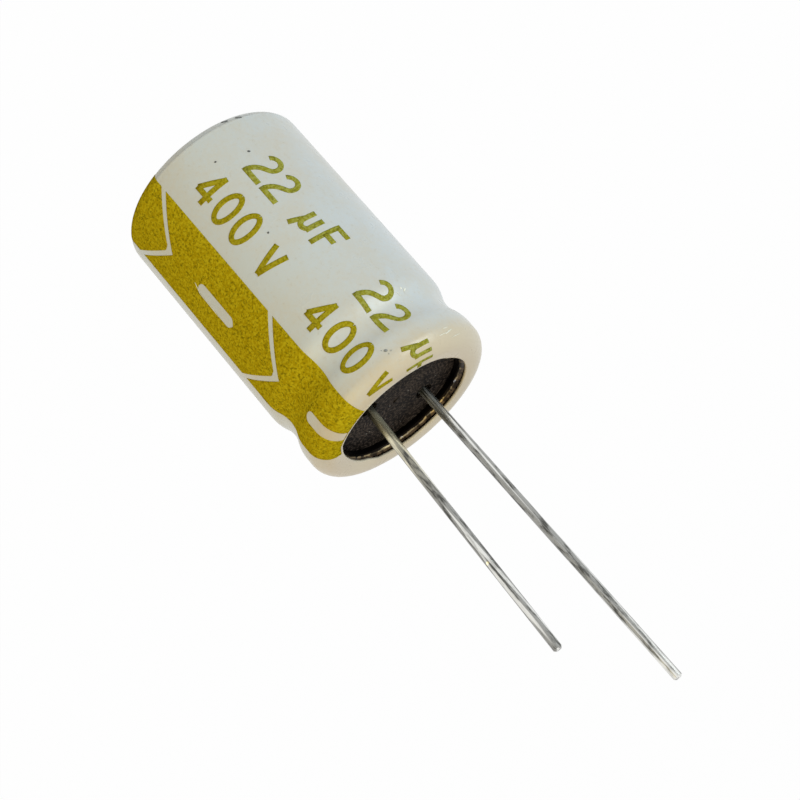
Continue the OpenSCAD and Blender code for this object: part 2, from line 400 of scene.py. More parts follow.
@dataclass(frozen=True)
class Rubber:
    """Moulded black rubber: matte, fine grained, with faint rings round the middle and dust."""

    black: Colour = (0.0022, 0.0014, 0.001)
    worn: Colour = (0.080, 0.061, 0.050)
    dust: Colour = (0.30, 0.29, 0.27)
    rings: float = 26000.0

    def paint(self) -> bpy.types.Material:
        """Rings from a sine of the distance to the axis, bent by noise, over grain and dust."""
        paint = Paint("bung_rubber", 0.62, sheen=0.04)
        ripple = ((paint.from_axis() + paint.noise(420.0) * 0.0012) * self.rings).sine() * 0.5 + 0.5
        ripple = ripple * paint.noise(700.0, 2.0).step(0.42, 0.6)
        grain = paint.noise(5200.0, 2.0, 0.6)
        dust = paint.cells(2400.0).step(0.16, 0.06) * paint.noise(900.0).step(0.5, 0.6)
        wear = grain.step(0.48, 0.62) * 0.6 + ripple * 0.36
        paint.colour(paint.mix(dust * 0.8, paint.mix(wear, self.black, self.worn), self.dust))
        paint.roughness(grain * 0.3 + 0.46)
        paint.relief(grain * 1.2 + ripple * 0.6, 0.00002)
        return paint.material


@dataclass(frozen=True)
class Tin:
    """Tinned wire: bright, with dark die lines along it and painted shade on its foot.

    The negative lead, at negative x, has a painted yellow reflection of the sleeve above its foot,
    and one nick.
    """

    bright: Colour = (0.80, 0.80, 0.78)
    # Colour of the die lines and blotches, and of the painted shade at the foot.
    dull: Colour = (0.085, 0.085, 0.078)
    # Yellow of the painted reflection of the sleeve on the negative lead.
    sleeve_reflection: Colour = (0.72, 0.64, 0.36)
    nick: tuple[float, float, float] = (-0.00335, 0.0001, 0.0320)
    # Heights over which painted shade darkens the foot, next to the bung.
    foot_shade_z: Span = (0.0204, 0.0196)
    # Where the painted reflection of the sleeve lies: its heights, then its side of x.
    sleeve_reflection_z: Span = (0.0285, 0.0215)
    sleeve_reflection_x: Span = (0.0, -0.001)

    def paint(self) -> bpy.types.Material:
        """Die lines from noise stretched along the wire, with small blotches, painted shade at the
        foot and a painted reflection of the sleeve.
        """
        paint = Paint("tinned_wire", 0.24, 0.82)
        lines = paint.streaks((3600.0, 3600.0, 14.0), 1.5, 0.5)
        blotch = paint.streaks((3800.0, 3800.0, 700.0), 4.0, 0.65)
        x, _, z = paint.axes()
        nick = paint.near(self.nick, 0.00018, 0.0004)
        # Painted shade on the foot, where the lead goes into the bung.
        foot = z.step(*self.foot_shade_z) * 0.6
        dark = lines.step(0.44, 0.52) * 0.65 + blotch.step(0.44, 0.66) * 0.4 + foot
        # Painted reflection: the negative lead is painted yellow above its foot, beside the sleeve.
        sleeve_reflection = z.step(*self.sleeve_reflection_z) * x.step(*self.sleeve_reflection_x) * 0.6
        paint.colour(paint.mix(dark, paint.mix(sleeve_reflection, self.bright, self.sleeve_reflection), self.dull))
        paint.roughness(lines * 0.2 + 0.12)
        paint.relief(lines + blotch * 0.5 - nick * 3.0, 0.00002)
        return paint.material


@dataclass(frozen=True)
class Paper:
    """Wound roll: brown paper soaked with electrolyte, turns of foil between it at the ends."""

    paper: Colour = (0.50, 0.36, 0.18)
    wet: Colour = (0.33, 0.22, 0.10)
    foil: Colour = (0.45, 0.45, 0.46)
    layers: float = 42000.0

    def paint(self) -> bpy.types.Material:
        """Fibres from stretched noise, and foil turns from a sine of the distance to the axis."""
        paint = Paint("roll_paper", 0.6)
        fibres = paint.streaks((900.0, 900.0, 2600.0), 4.0, 0.7)
        turns = (paint.from_axis() * self.layers).sine().step(0.2, 0.9) * 0.35
        soaked = paint.mix(fibres.step(0.35, 0.7), self.paper, self.wet)
        paint.colour(paint.mix(turns, soaked, self.foil))
        paint.roughness(fibres * 0.35 + 0.4)
        paint.relief(fibres, 0.00002)
        return paint.material


@dataclass(frozen=True)
class Tape:
    """Yellowish clear tape, with fine air lines under it."""

    base: Colour = (0.62, 0.48, 0.16)
    line: Colour = (0.74, 0.64, 0.34)

    def paint(self) -> bpy.types.Material:
        """Air lines from stretched noise."""
        paint = Paint("tape_film", 0.35)
        air = paint.streaks((700.0, 700.0, 3200.0))
        paint.colour(paint.mix(air.step(0.5, 0.75), self.base, self.line))
        paint.relief(air, 0.000008)
        return paint.material


# Meshes


def surface(
    name: str, points: np.ndarray, closed: tuple[bool, bool] = (False, False)
) -> bpy.types.Object:
    """Makes a smooth mesh from a grid of points in millimetres.

    Each square of four neighbouring points is one face. Along a closed direction the last
    points join the first ones.

    Args:
        name: The piece's name.
        points: Points by row, column and axis. Rows times columns turn outwards by the right hand.
        closed: Whether the rows and the columns close on themselves.

    Returns:
        The linked object, at the origin.
    """
    rows, columns = points.shape[:2]
    row = np.arange(rows if closed[0] else rows - 1)
    column = np.arange(columns if closed[1] else columns - 1)
    i, j = (part.ravel() for part in np.meshgrid(row, column, indexing="ij"))
    i1, j1 = (i + 1) % rows, (j + 1) % columns
    corners = [i * columns + j, i1 * columns + j, i1 * columns + j1, i * columns + j1]
    faces = np.stack(corners, axis=1)
    mesh = bpy.data.meshes.new(name)
    mesh.from_pydata((points.reshape(-1, 3) * MM).tolist(), [], faces.tolist())
    mesh.polygons.foreach_set("use_smooth", np.ones(len(faces), dtype=bool))
    mesh.update()
    piece = bpy.data.objects.new(name, mesh)
    bpy.context.scene.collection.objects.link(piece)
    return piece


def joined(name: str, pieces: Sequence[bpy.types.Object]) -> bpy.types.Object:
    """Joins meshes into one object.

    Args:
        name: The new name.
        pieces: The objects that are used up.

    Returns:
        The one that holds them all.
    """
    with bpy.context.temp_override(
        active_object=pieces[0], selected_editable_objects=list(pieces), object=pieces[0]
    ):
        bpy.ops.object.join()
    pieces[0].name = pieces[0].data.name = name
    return pieces[0]


def run(path: np.ndarray) -> np.ndarray:
    """Distance along a path at each of its points."""
    return np.concatenate([[0.0], np.cumsum(np.linalg.norm(np.diff(path, axis=0), axis=1))])


def read_off(path: np.ndarray, marks: np.ndarray, where: np.ndarray) -> np.ndarray:
    """Places on a flat path: marks gives each point a rising number, and where the wanted ones."""
    return np.stack([np.interp(where, marks, path[:, axis]) for axis in (0, 1)], axis=-1)


def turned(section: np.ndarray, angle: np.ndarray) -> np.ndarray:
    """Points round the axis from their radius and height and their direction in radians."""
    radius, height = np.moveaxis(section, -1, 0)
    return np.stack([radius * np.cos(angle), radius * np.sin(angle), height], axis=-1)


def bend(
    centre: Sequence[float], radii: Sequence[float], start: float, end: float, count: int = 0
) -> np.ndarray:
    """Arc of an ellipse between two angles in degrees, by count points or one about every 9."""
    angle = np.radians(np.linspace(start, end, count or 2 + int(abs(end - start) / 9)))
    return np.array(centre) + np.array(radii) * np.stack([np.cos(angle), np.sin(angle)], axis=1)


def sweep(
    start: Sequence[float], pull: Sequence[float], push: Sequence[float], end: Sequence[float]
) -> np.ndarray:
    """Cubic curve from start to end, drawn towards two other points on its way."""
    t = np.linspace(0.0, 1.0, 17)[:, None]
    ends = (1.0 - t) ** 3 * np.array(start) + t**3 * np.array(end)
    return ends + 3.0 * t * (1.0 - t) * ((1.0 - t) * np.array(pull) + t * np.array(push))


def line(*points: Sequence[float]) -> np.ndarray:
    """Straight stretches through the given points, four steps to each."""
    ends = np.array(points, dtype=float)
    steps = np.linspace(0.0, len(ends) - 1.0, 4 * (len(ends) - 1) + 1)
    return read_off(ends, np.arange(len(ends)), steps)


# The sleeve and its print


@dataclass(frozen=True)
class Sleeve:
    """The shrunk film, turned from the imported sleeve's own outline, finer and slightly uneven.

    Its sizes are those of the part's source, apart from small liberties at the lip. Each wave of
    the opening's edge has its height, how often it comes round, and its phase.
    """

    can_r: float = 6.33
    mouth_r: float = 6.28
    can_z: float = 0.17
    can_h: float = 20.26
    corner_r: float = 0.75
    gap: float = 0.02
    wall: float = 0.15
    vent_lip_r: float = 4.9
    mouth_lip_r: float = 4.62
    lip_start_r: float = 5.2
    lip_reach_r: float = 3.82
    lip_sag: float = 0.3
    shoulder_r: float = 1.05
    bead_drop: float = 3.3
    dip_depth: float = 0.4
    dip_r: float = 2.2
    dip_run_out_r: float = 2.2
    fold: float = 0.42
    fold_side: float = 236.0
    fold_r: float = 7.0
    slack: float = 0.48
    slack_side: float = 172.0
    slack_power: float = 0.7
    waves: tuple[tuple[float, float, float], ...] = ((0.03, 3.0, 0.6), (0.018, 7.0, 2.0))
    wave_room: float = 0.02
    least_lip: float = 0.08
    turns: int = 288
    steps: int = 14
    lip_steps: int = 8
    spacing: float = 0.4
    probe: float = 0.02

    @property
    def film(self) -> float:
        """Distance from the can to the outer face of the film."""
        return self.gap + self.wall

    @property
    def top_z(self) -> float:
        """Height of the can's rim."""
        return self.can_z + self.can_h

    def _arc(self, centre: Sequence[float], radius: float, start: float, end: float) -> np.ndarray:
        """Arc about a centre, as radius and height, from one angle in degrees to another."""
        return bend(centre, (radius, radius), start, end, self.steps + 1)

    def _dip(self, inset: float) -> np.ndarray:
        """The film's dip over the groove: two outward arcs joined by an inward one."""
        low_r, high_r = self.can_r + self.film, self.mouth_r + self.film
        reach = self.dip_r + self.dip_run_out_r
        centre = low_r - self.dip_depth + self.dip_r
        low, high = (math.acos((centre - r + self.dip_run_out_r) / reach) for r in (low_r, high_r))
        middle_z = self.top_z - self.bead_drop
        run_out = self.dip_run_out_r - inset
        below = (low_r - self.dip_run_out_r, middle_z - reach * math.sin(low))
        above = (high_r - self.dip_run_out_r, middle_z + reach * math.sin(high))
        low, high = math.degrees(low), math.degrees(high)
        dip = self._arc((centre, middle_z), self.dip_r + inset, 180.0 + low, 180.0 - high)
        sides = self._arc(below, run_out, 0.0, low), self._arc(above, run_out, -high, 0.0)
        return np.concatenate([sides[0], dip[1:-1], sides[1]])

    def wall_line(self, inset: float) -> np.ndarray:
        """The film's section from the vent lip up to where the mouth lip starts.

        Args:
            inset: Distance inward from the outer face.

        Returns:
            Points as radius and height, closely spaced along the straight stretches.
        """
        radius = self.film - inset
        corner = (self.can_r - self.corner_r, self.can_z + self.corner_r)
        shoulder = (self.mouth_r - self.shoulder_r, self.top_z - self.shoulder_r)
        path = np.concatenate(
            [
                [[self.vent_lip_r, inset]],
                self._arc(corner, self.corner_r + radius, -90.0, 0.0),
                self._dip(inset),
                self._arc(shoulder, self.shoulder_r + radius, 0.0, 90.0),
                [[self.lip_start_r, self.top_z + radius]],
            ]
        )
        reach = run(path)
        return read_off(path, reach, np.union1d(reach, np.arange(0.0, reach[-1], self.spacing)))

    def lip_edge(self, angle: np.ndarray) -> np.ndarray:
        """Radius of the opening: the nearer of a circle and a larger, shifted one, slightly wavy.

        On one side the film shrank back, by the slack times a power of the cosine, but never so
        far that no lip is left.

        Args:
            angle: Direction from the axis, in radians.

        Returns:
            Radius of the edge in each direction.
        """
        shift = self.mouth_lip_r - self.fold - self.fold_r
        turn = angle - math.radians(self.fold_side)
        shifted = shift * np.cos(turn) + np.sqrt(self.fold_r**2 - (shift * np.sin(turn)) ** 2)
        wave = sum(height * np.sin(count * angle + phase) for height, count, phase in self.waves)
        cosine = np.maximum(0.0, np.cos(angle - math.radians(self.slack_side)))
        slack = self.slack * cosine**self.slack_power
        edge = np.minimum(self.mouth_lip_r, shifted) + slack + wave - self.wave_room
        return np.minimum(edge, self.lip_start_r - self.least_lip)

    def lip_line(self, share: np.ndarray, angle: np.ndarray, inset: float) -> np.ndarray:
        """The lip over the rim: it sags with the square of its reach from the rim.

        Args:
            share: 0 where the lip starts to 1 at its edge.
            angle: Direction from the axis, in radians.
            inset: Distance down from the outer face.

        Returns:
            Points as radius and height.
        """
        radius = self.lip_start_r + (self.lip_edge(angle) - self.lip_start_r) * share
        reach = (self.lip_start_r - radius) / (self.lip_start_r - self.lip_reach_r)
        return np.stack([radius, self.top_z + self.film - inset - self.lip_sag * reach**2], axis=-1)

    def at(self, along: np.ndarray, angle: np.ndarray, proud: float = 0.0) -> np.ndarray:
        """Points on the outer face of the film.

        The distance along the section is read off the wall's line, and past its end off the lip.

        Args:
            along: Distance along the section from the vent lip's edge.
            angle: Direction from the axis, in radians.
            proud: Height above the film.

        Returns:
            Points in millimetres.
        """
        path = self.wall_line(0.0)
        reach = run(path)
        width = self.lip_start_r - self.lip_edge(angle)

        def section(where: np.ndarray) -> np.ndarray:
            """Radius and height at a distance along the section."""
            share = np.clip((where - reach[-1]) / width, 0.0, 1.0)
            lip = self.lip_line(share, angle, 0.0)
            return np.where((where > reach[-1])[..., None], lip, read_off(path, reach, where))

        slope = section(along + self.probe) - section(along - self.probe)
        slope /= np.maximum(np.linalg.norm(slope, axis=-1, keepdims=True), 1e-9)
        outward = np.stack([slope[..., 1], -slope[..., 0]], axis=-1)
        return turned(section(along) + proud * outward, angle)

    def build(self, finish: Film) -> bpy.types.Object:
        """Makes the closed film: up its outer face, over the lip, and back down its inner face."""
        angle = np.linspace(0.0, 2.0 * math.pi, self.turns, endpoint=False)
        share = np.linspace(0.0, 1.0, self.lip_steps + 1)[1:]
        grid_share, grid_angle = np.meshgrid(share, angle, indexing="ij")
        rows = []
        for inset, order in ((0.0, 1), (self.wall, -1)):
            wall = np.repeat(self.wall_line(inset)[:, None, :], self.turns, axis=1)
            lip = self.lip_line(grid_share, grid_angle, inset)
            rows.append(np.concatenate([wall, lip])[::order])
        points = turned(np.concatenate(rows), angle)
        piece = surface("printed_film", points[:, ::-1], closed=(True, True))
        piece.data.materials.append(finish.paint())
        return piece


@dataclass(frozen=True)
class Stroke:
    """One pen stroke of a figure: its middle line in the figure's own millimetres."""

    path: np.ndarray
    width: float = 0.36


class Figure(Enum):
    """The figures of the rating, each as its pen strokes, 2.1 mm high from middle to middle."""

    TWO = "2"
    FOUR = "4"
    ZERO = "0"
    MICRO = "u"
    FARAD = "F"
    VOLT = "V"

    def strokes(self) -> list[Stroke]:
        """The middle lines of the figure's strokes."""
        if self is Figure.TWO:
            bowl = bend((0.57, 1.585), (0.54, 0.565), 162.0, -35.0)
            neck = sweep((1.012, 1.261), (0.76, 0.98), (0.15, 0.9), (0.0, 0.03))
            foot = line((-0.17, 0.03), (1.32, 0.03))
            return [Stroke(np.concatenate([bowl, neck[1:]])), Stroke(foot)]
        if self is Figure.FOUR:
            stem, bar = line((0.85, -0.06), (0.85, 2.2)), line((-0.1, 0.56), (1.27, 0.56))
            return [Stroke(stem), Stroke(line((-0.03, 0.57), (0.9, 2.16))), Stroke(bar)]
        if self is Figure.ZERO:
            return [Stroke(bend((0.55, 1.05), (0.54, 1.06), 90.0, 450.0))]
        if self is Figure.MICRO:
            stem, tail = line((1.04, 1.5), (1.04, 0.1)), line((0.28, 0.75), (-0.12, -0.42))
            cup = [line((0.28, 1.45), (0.28, 0.6)), bend((0.66, 0.5), (0.38, 0.42), 180.0, 330.0)]
            return [Stroke(tail), Stroke(np.concatenate(cup)), Stroke(stem)]
        if self is Figure.FARAD:
            bars = ((0.0, -0.05), (0.0, 2.28)), ((0.0, 2.1), (1.0, 2.1)), ((0.0, 1.1), (0.85, 1.1))
            return [Stroke(line(*ends)) for ends in bars]
        return [Stroke(line((top, 2.0), (0.56, -0.1))) for top in (0.02, 1.1)]


@dataclass(frozen=True)
class Row:
    """A row of the rating: its foot's direction in degrees, its ink and where its figures start."""

    base: float
    ink: Ink
    figures: tuple[tuple[Figure, float], ...]


@dataclass(frozen=True)
class Scuffs:
    """Short scuffs, specks or painted glints of one finish.

    Each mark has the distance along the section and the direction in degrees of its two ends,
    and its width.
    """

    name: str
    finish: Bare
    marks: tuple[tuple[float, float, float, float, float], ...]


ROWS = (
    Row(
        119.9,
        Ink("thin_ink", (0.27, 0.25, 0.018), (0.38, 0.38, 0.09), (0.15, 0.14, 0.015)),
        ((Figure.TWO, 4.2), (Figure.TWO, 5.94), (Figure.MICRO, 8.72), (Figure.FARAD, 10.67)),
    ),
    Row(
        150.4,
        Ink("rating_ink", (0.30, 0.235, 0.005), (0.40, 0.34, 0.022), (0.16, 0.135, 0.005)),
        ((Figure.FOUR, 3.22), (Figure.ZERO, 5.08), (Figure.ZERO, 6.87), (Figure.VOLT, 9.54)),
    ),
)
# By figure and copy: its slip along in millimetres, its slip round in degrees, and its size
SLIPS = {
    (Figure.MICRO, 0): (0.15, -1.8, 0.96),
    (Figure.MICRO, 1): (0.25, -2.6, 1.0),
    (Figure.FARAD, 0): (0.03, -0.5, 1.0),
    (Figure.FARAD, 1): (0.2, 3.5, 1.0),
    (Figure.VOLT, 0): (0.04, 0.9, 0.98),
    (Figure.VOLT, 1): (0.03, -0.8, 0.89),
}
NO_SLIP = (0.0, 0.0, 1.0)
SCUFFS = (
    Scuffs(
        "dark_specks",
        Bare("dark_speck", (0.05, 0.052, 0.05), (0.15, 0.15, 0.145)),
        (
            (1.53, 112.2, 1.68, 108.2, 0.18),
            (1.68, 103.4, 1.88, 100.0, 0.19),
            (4.35, 112.4, 4.47, 111.0, 0.13),
            (3.80, 130.6, 3.88, 129.6, 0.11),
            (9.76, 133.9, 9.84, 133.0, 0.12),
        ),
    ),
    Scuffs(
        "soft_specks",
        Bare("soft_speck", (0.21, 0.215, 0.21), (0.40, 0.40, 0.385)),
        (
            (20.40, 128.0, 20.54, 126.4, 0.17),
            (20.62, 125.4, 20.68, 124.6, 0.08),
            (20.30, 129.2, 20.33, 128.6, 0.06),
            (20.72, 127.2, 20.76, 126.8, 0.06),
        ),
    ),
    # Scratches on the stripe and near the mouth, and painted glints at the groove's dip.
    Scuffs(
        "scuffs_and_painted_glints",
        Bare("scuff_and_painted_glint", (0.70, 0.68, 0.57), (0.82, 0.815, 0.745)),
        (
            (8.17, 185.0, 8.9, 187.6, 0.06),
            (8.9, 187.6, 10.9, 188.0, 0.05),
            # Pale specks painted as glints at the groove's dip.
            (17.22, 94.7, 17.33, 94.1, 0.12),
            (17.5, 93.6, 17.36, 91.4, 0.12),
            (17.43, 98.1, 17.5, 97.9, 0.08),
            (17.62, 97.6, 17.68, 97.3, 0.07),
            (18.28, 92.5, 18.34, 92.3, 0.07),
            (21.3, 96.0, 21.24, 90.5, 0.04),
            (21.32, 91.4, 21.12, 85.2, 0.07),
            (20.97, 91.5, 20.95, 87.5, 0.035),
            (21.62, 87.2, 21.47, 79.0, 0.035),
        ),
    ),
)


@dataclass(frozen=True)
class Print:
    """The ink on the sleeve: the stripe over the negative lead, and the rating, both repeated."""

    sleeve: Sleeve
    pitch: float = 10.99
    first_turn: float = 1.2
    squeeze_from: float = 19.0
    squeeze: float = 0.119
    skew: float = -0.05
    last_mark: float = 22.3
    vent_margin: float = 0.12
    edge_margin: float = 0.16
    proud: float = 0.014
    stroke_lift: float = 0.0015
    scuff_lift: float = 0.008
    taper: float = 0.96
    coat: float = 0.02
    weld: float = 0.002
    lip_z: float = 20.0
    lip_weight: float = 5.0
    stripe_ends: Span = (-6.0, 32.0)
    stripe_top: float = 160.6
    stripe_middle: float = 184.5
    stripe_foot: float = 207.9
    chevron_edge: float = 1.28
    chevron_foot: float = 1.62
    chevron_blunt: float = 0.93
    chevron_tip: float = 4.12
    chevron_w: float = 0.46
    dash_start: float = 7.33
    dash_l: float = 3.5
    last_dash_l: float = 4.4
    dash_w: float = 0.82

    def placed(self, along: np.ndarray, angle: np.ndarray, lift: float = 0.0) -> np.ndarray:
        """Points just above the film.

        The print was laid on flat film, a little askew. Past the groove the shrinking squeezes it
        along the axis, the more the farther: a distance d becomes d over 1 plus squeeze times d.
        It ends just short of the film's edge.

        Args:
            along: Height on the flat film, in millimetres from the vent end.
            angle: Direction from the axis, in degrees.
            lift: Extra height above the film.

        Returns:
            Points in millimetres.
        """
        past = np.maximum(along - self.squeeze_from, 0.0)
        turn = np.radians(angle + self.skew * (along - self.pitch))
        wall = run(self.sleeve.wall_line(0.0))[-1]
        last = wall + self.sleeve.lip_start_r - self.sleeve.lip_edge(turn) - self.edge_margin
        flat = np.minimum(along, self.squeeze_from) + past / (1.0 + self.squeeze * past)
        where = np.clip(flat + self.first_turn, self.vent_margin, last)
        return self.sleeve.at(where, turn, self.proud + lift)

    def inked(self, name: str, parts: Sequence[np.ndarray], finish: Finish) -> bpy.types.Object:
        """Joins patches into one coat of ink with a thickness, and paints it.

        Args:
            name: The piece's name.
            parts: Grids of points in millimetres.
            finish: What it is painted with.

        Returns:
            The piece.
        """
        piece = joined(name, [surface(name, self.outward(grid)) for grid in parts])
        weld = piece.modifiers.new("weld", "WELD")
        weld.merge_threshold = self.weld * MM
        coat = piece.modifiers.new("coat", "SOLIDIFY")
        coat.thickness = self.coat * MM
        coat.offset = -1.0
        piece.data.materials.append(finish.paint())
        return piece

    def outward(self, grid: np.ndarray) -> np.ndarray:
        """The grid, turned over if its faces look inward.

        They look outward where their normals point away from the axis, and over the mouth's lip
        where they point up.
        """
        corner = grid[:-1, :-1]
        normal = np.cross(grid[1:, :-1] - corner, grid[:-1, 1:] - corner)
        away = (normal * corner * (1.0, 1.0, 0.0)).sum(axis=-1)
        up = normal[..., 2] * (corner[..., 2] > self.lip_z) * self.lip_weight
        return grid if (away + up).sum() > 0.0 else grid[:, ::-1]

    def half_field(
        self, start: float, end: float, edge: float, lean: float, dash: tuple[float, float] | None
    ) -> np.ndarray:
        """One half of the stripe between two chevrons.

        Its two ends lean with the chevrons. Its inner side is the stripe's middle, and it goes
        round the dash, whose ends are half circles.

        Args:
            start: Where the half starts at the stripe's outer edge.
            end: Where it ends there.
            edge: Direction of that outer edge, in degrees.
            lean: How much farther along its ends lie at the stripe's middle.
            dash: Where the dash starts and its length, or none.

        Returns:
            A grid of points in millimetres.
        """
        along_share = np.linspace(0.0, 1.0, 48 if dash is None else 96)
        if dash is not None:
            half, bow = self.dash_w / 2.0, np.linspace(0.0, math.pi, 25)
            first, last = dash[0], dash[0] + dash[1]
            ends = [first + half * (1.0 - np.cos(bow)), last - half * (1.0 - np.cos(bow))]
            marks = (np.concatenate(ends) - start - lean) / (end - start)
            along_share = np.union1d(along_share, marks[(marks > 0.0) & (marks < 1.0)])
        share, across = np.meshgrid(np.linspace(0.0, 1.0, 25), along_share, indexing="ij")
        first_end = np.clip(start + lean * share, 0.0, None)
        last_end = end + lean * np.minimum(share, self.chevron_blunt)
        along = first_end * (1.0 - across) + last_end * across
        inner = np.full_like(along, self.stripe_middle)
        if dash is not None:
            middle = np.clip(along, first + half, last - half)
            notch = np.sqrt(np.clip(half**2 - (along - middle) ** 2, 0.0, None))
            notch_turn = np.degrees(notch / (self.sleeve.can_r + self.sleeve.film))
            inner += np.sign(edge - self.stripe_middle) * notch_turn
        return self.placed(along, edge + (inner - edge) * share)

    def stripe(self, finish: Ink) -> bpy.types.Object:
        """The stripe: fields between chevrons, over the whole length and round both ends."""
        second_dash = (self.dash_start + self.pitch, self.last_dash_l)
        dashes = (None, (self.dash_start, self.dash_l), second_dash)
        halves = ((self.stripe_top, self.chevron_edge), (self.stripe_foot, self.chevron_foot))
        first, last = self.stripe_ends
        fields = []
        for edge, corner in halves:
            lean = self.chevron_tip - corner
            cuts = (first, corner, corner + self.pitch, last - lean)
            for low, high, dash in zip(cuts, cuts[1:], dashes):
                start = low + (self.chevron_w if dash else 0.0)
                fields.append(self.half_field(start, high, edge, lean, dash))
        return self.inked("stripe_ink", fields, finish)

    def ribbon(self, stroke: Stroke, left: float, base: float, lift: float) -> np.ndarray:
        """One stroke as a ribbon on the film: its middle line, moved half its width to each side.

        Args:
            stroke: The stroke.
            left: Where the figure starts along the sleeve.
            base: Direction of the figure's foot, in degrees.
            lift: Extra height, so that strokes that cross don't share a face.

        Returns:
            A grid of points in millimetres.
        """
        steps = np.linalg.norm(np.diff(stroke.path, axis=0), axis=1)
        path = stroke.path[np.concatenate([[True], steps > 1e-6])]
        way = np.gradient(path, axis=0)
        way /= np.linalg.norm(way, axis=1, keepdims=True)
        side = np.stack([-way[:, 1], way[:, 0]], axis=1)
        flat = path + np.linspace(-0.5, 0.5, 5)[:, None, None] * stroke.width * side
        radius = self.sleeve.can_r + self.sleeve.film
        return self.placed(left + flat[..., 0], base - np.degrees(flat[..., 1] / radius), lift)

    def rating(self, row: Row) -> bpy.types.Object:
        """A row of the rating in plain figures and units, twice, as far as the film's edge."""
        ribbons = []
        for figure, left in row.figures:
            for copy in (0, 1):
                shift, turn, size = SLIPS.get((figure, copy), NO_SLIP)
                start, base = left + copy * self.pitch + shift, row.base + turn
                for number, stroke in enumerate(figure.strokes()):
                    if start + stroke.path[:, 0].mean() < self.last_mark:
                        shrunk = Stroke(stroke.path * size, stroke.width)
                        ribbons.append(self.ribbon(shrunk, start, base, self.stroke_lift * number))
        return self.inked(row.ink.name, ribbons, row.ink)

    def scuffs(self, batch: Scuffs) -> bpy.types.Object:
        """Scuffs, specks and painted glints on the film and its ink, as ribbons that narrow to both
        ends.
        """
        ribbons = []
        for start, first, end, last, width in batch.marks:
            step = np.array([end - start, math.radians(last - first) * self.sleeve.can_r])
            side = np.array([-step[1], step[0]]) / np.linalg.norm(step) * width / 2.0
            along_share = np.linspace(0.0, 1.0, 13)
            taper = np.sqrt(1.0 - self.taper * (2.0 * along_share - 1.0) ** 2)
            across = np.linspace(-1.0, 1.0, 5)[:, None] * taper
            along = start + step[0] * along_share + across * side[0]
            arc = step[1] * along_share + across * side[1]
            turn = first + np.degrees(arc / self.sleeve.can_r)
            ribbons.append(self.sleeve.at(along, np.radians(turn), self.proud + self.scuff_lift))
        return self.inked(batch.name, ribbons, batch.finish)


# The stage


@dataclass(frozen=True)
class Viewpoint:
    """The photograph's camera, as the pose of the part in front of it.

    The camera looks along its own depth axis. The part's axis is turned in the picture by
    turn and towards the camera by tilt, and the part is spun about its axis by spin.
    """

    frame_px: float = 800.0
    focal_px: float = 1900.0
    sensor_mm: float = 36.0
    turn: float = 49.33
    tilt: float = 20.17
    spin: float = 130.4
    vent_end: tuple[float, float, float] = (-12.184, -13.939, 122.197)
    clip_start: float = 0.005

    def pose(self) -> np.ndarray:
        """Turns a place in the part's frame into picture right, picture down and depth.

        Its columns before the spin: square to the axis in the picture, square to both, the axis.

        Returns:
            A 3 by 3 rotation.
        """
        turn, tilt, spin = (math.radians(a) for a in (self.turn, self.tilt, self.spin))
        flat = math.cos(tilt)
        axis = np.array([flat * math.cos(turn), flat * math.sin(turn), -math.sin(tilt)])
        first = np.array([-math.sin(turn), math.cos(turn), 0.0])
        spun = np.array(Matrix.Rotation(spin, 3, "Z"))
        return np.stack([first, np.cross(axis, first), axis], axis=1) @ spun

    def direction(self, right: float, up: float, back: float) -> Vector:
        """A direction given in the picture, as one in the part's frame."""
        return Vector(self.pose().T @ np.array([right, -up, -back])).normalized()

    def build(self) -> None:
        """Makes the camera and gives it to the scene."""
        place = -self.pose().T @ np.array(self.vent_end) * MM
        data = bpy.data.cameras.new("photograph_view")
        data.sensor_width = self.sensor_mm
        data.lens = self.focal_px / self.frame_px * self.sensor_mm
        data.clip_start = self.clip_start
        camera = bpy.data.objects.new("photograph_view", data)
        right_up_back = Matrix.Identity(3)
        turn = Matrix([self.direction(*axis) for axis in right_up_back]).transposed()
        camera.matrix_world = Matrix.Translation(place) @ turn.to_4x4()
        bpy.context.scene.collection.objects.link(camera)
        bpy.context.scene.camera = camera


@dataclass(frozen=True)
class SoftBox:
    """A square lamp that looks at the middle of the part.

    Its power is level times pi squared times distance squared, so that a surface that faces it
    gets level times the light at which a colour shows as it is written.
    """

    name: str
    towards: tuple[float, float, float]
    level: float
    side: float
    distance: float = 0.32
    tint: Colour = (1.0, 1.0, 1.0)
    aim: tuple[float, float, float] = (0.0, 0.0, 0.016)

    def build(self, view: Viewpoint) -> None:
        """Makes the lamp, placed by its direction in the picture: right, up and back."""
        data = bpy.data.lights.new(self.name, "AREA")
        data.energy = self.level * (math.pi * self.distance) ** 2
        data.size = self.side
        data.color = self.tint
        lamp = bpy.data.objects.new(self.name, data)
        away = view.direction(*self.towards)
        lamp.location = Vector(self.aim) + away * self.distance
        lamp.rotation_euler = away.to_track_quat("Z", "Y").to_euler()
        bpy.context.scene.collection.objects.link(lamp)


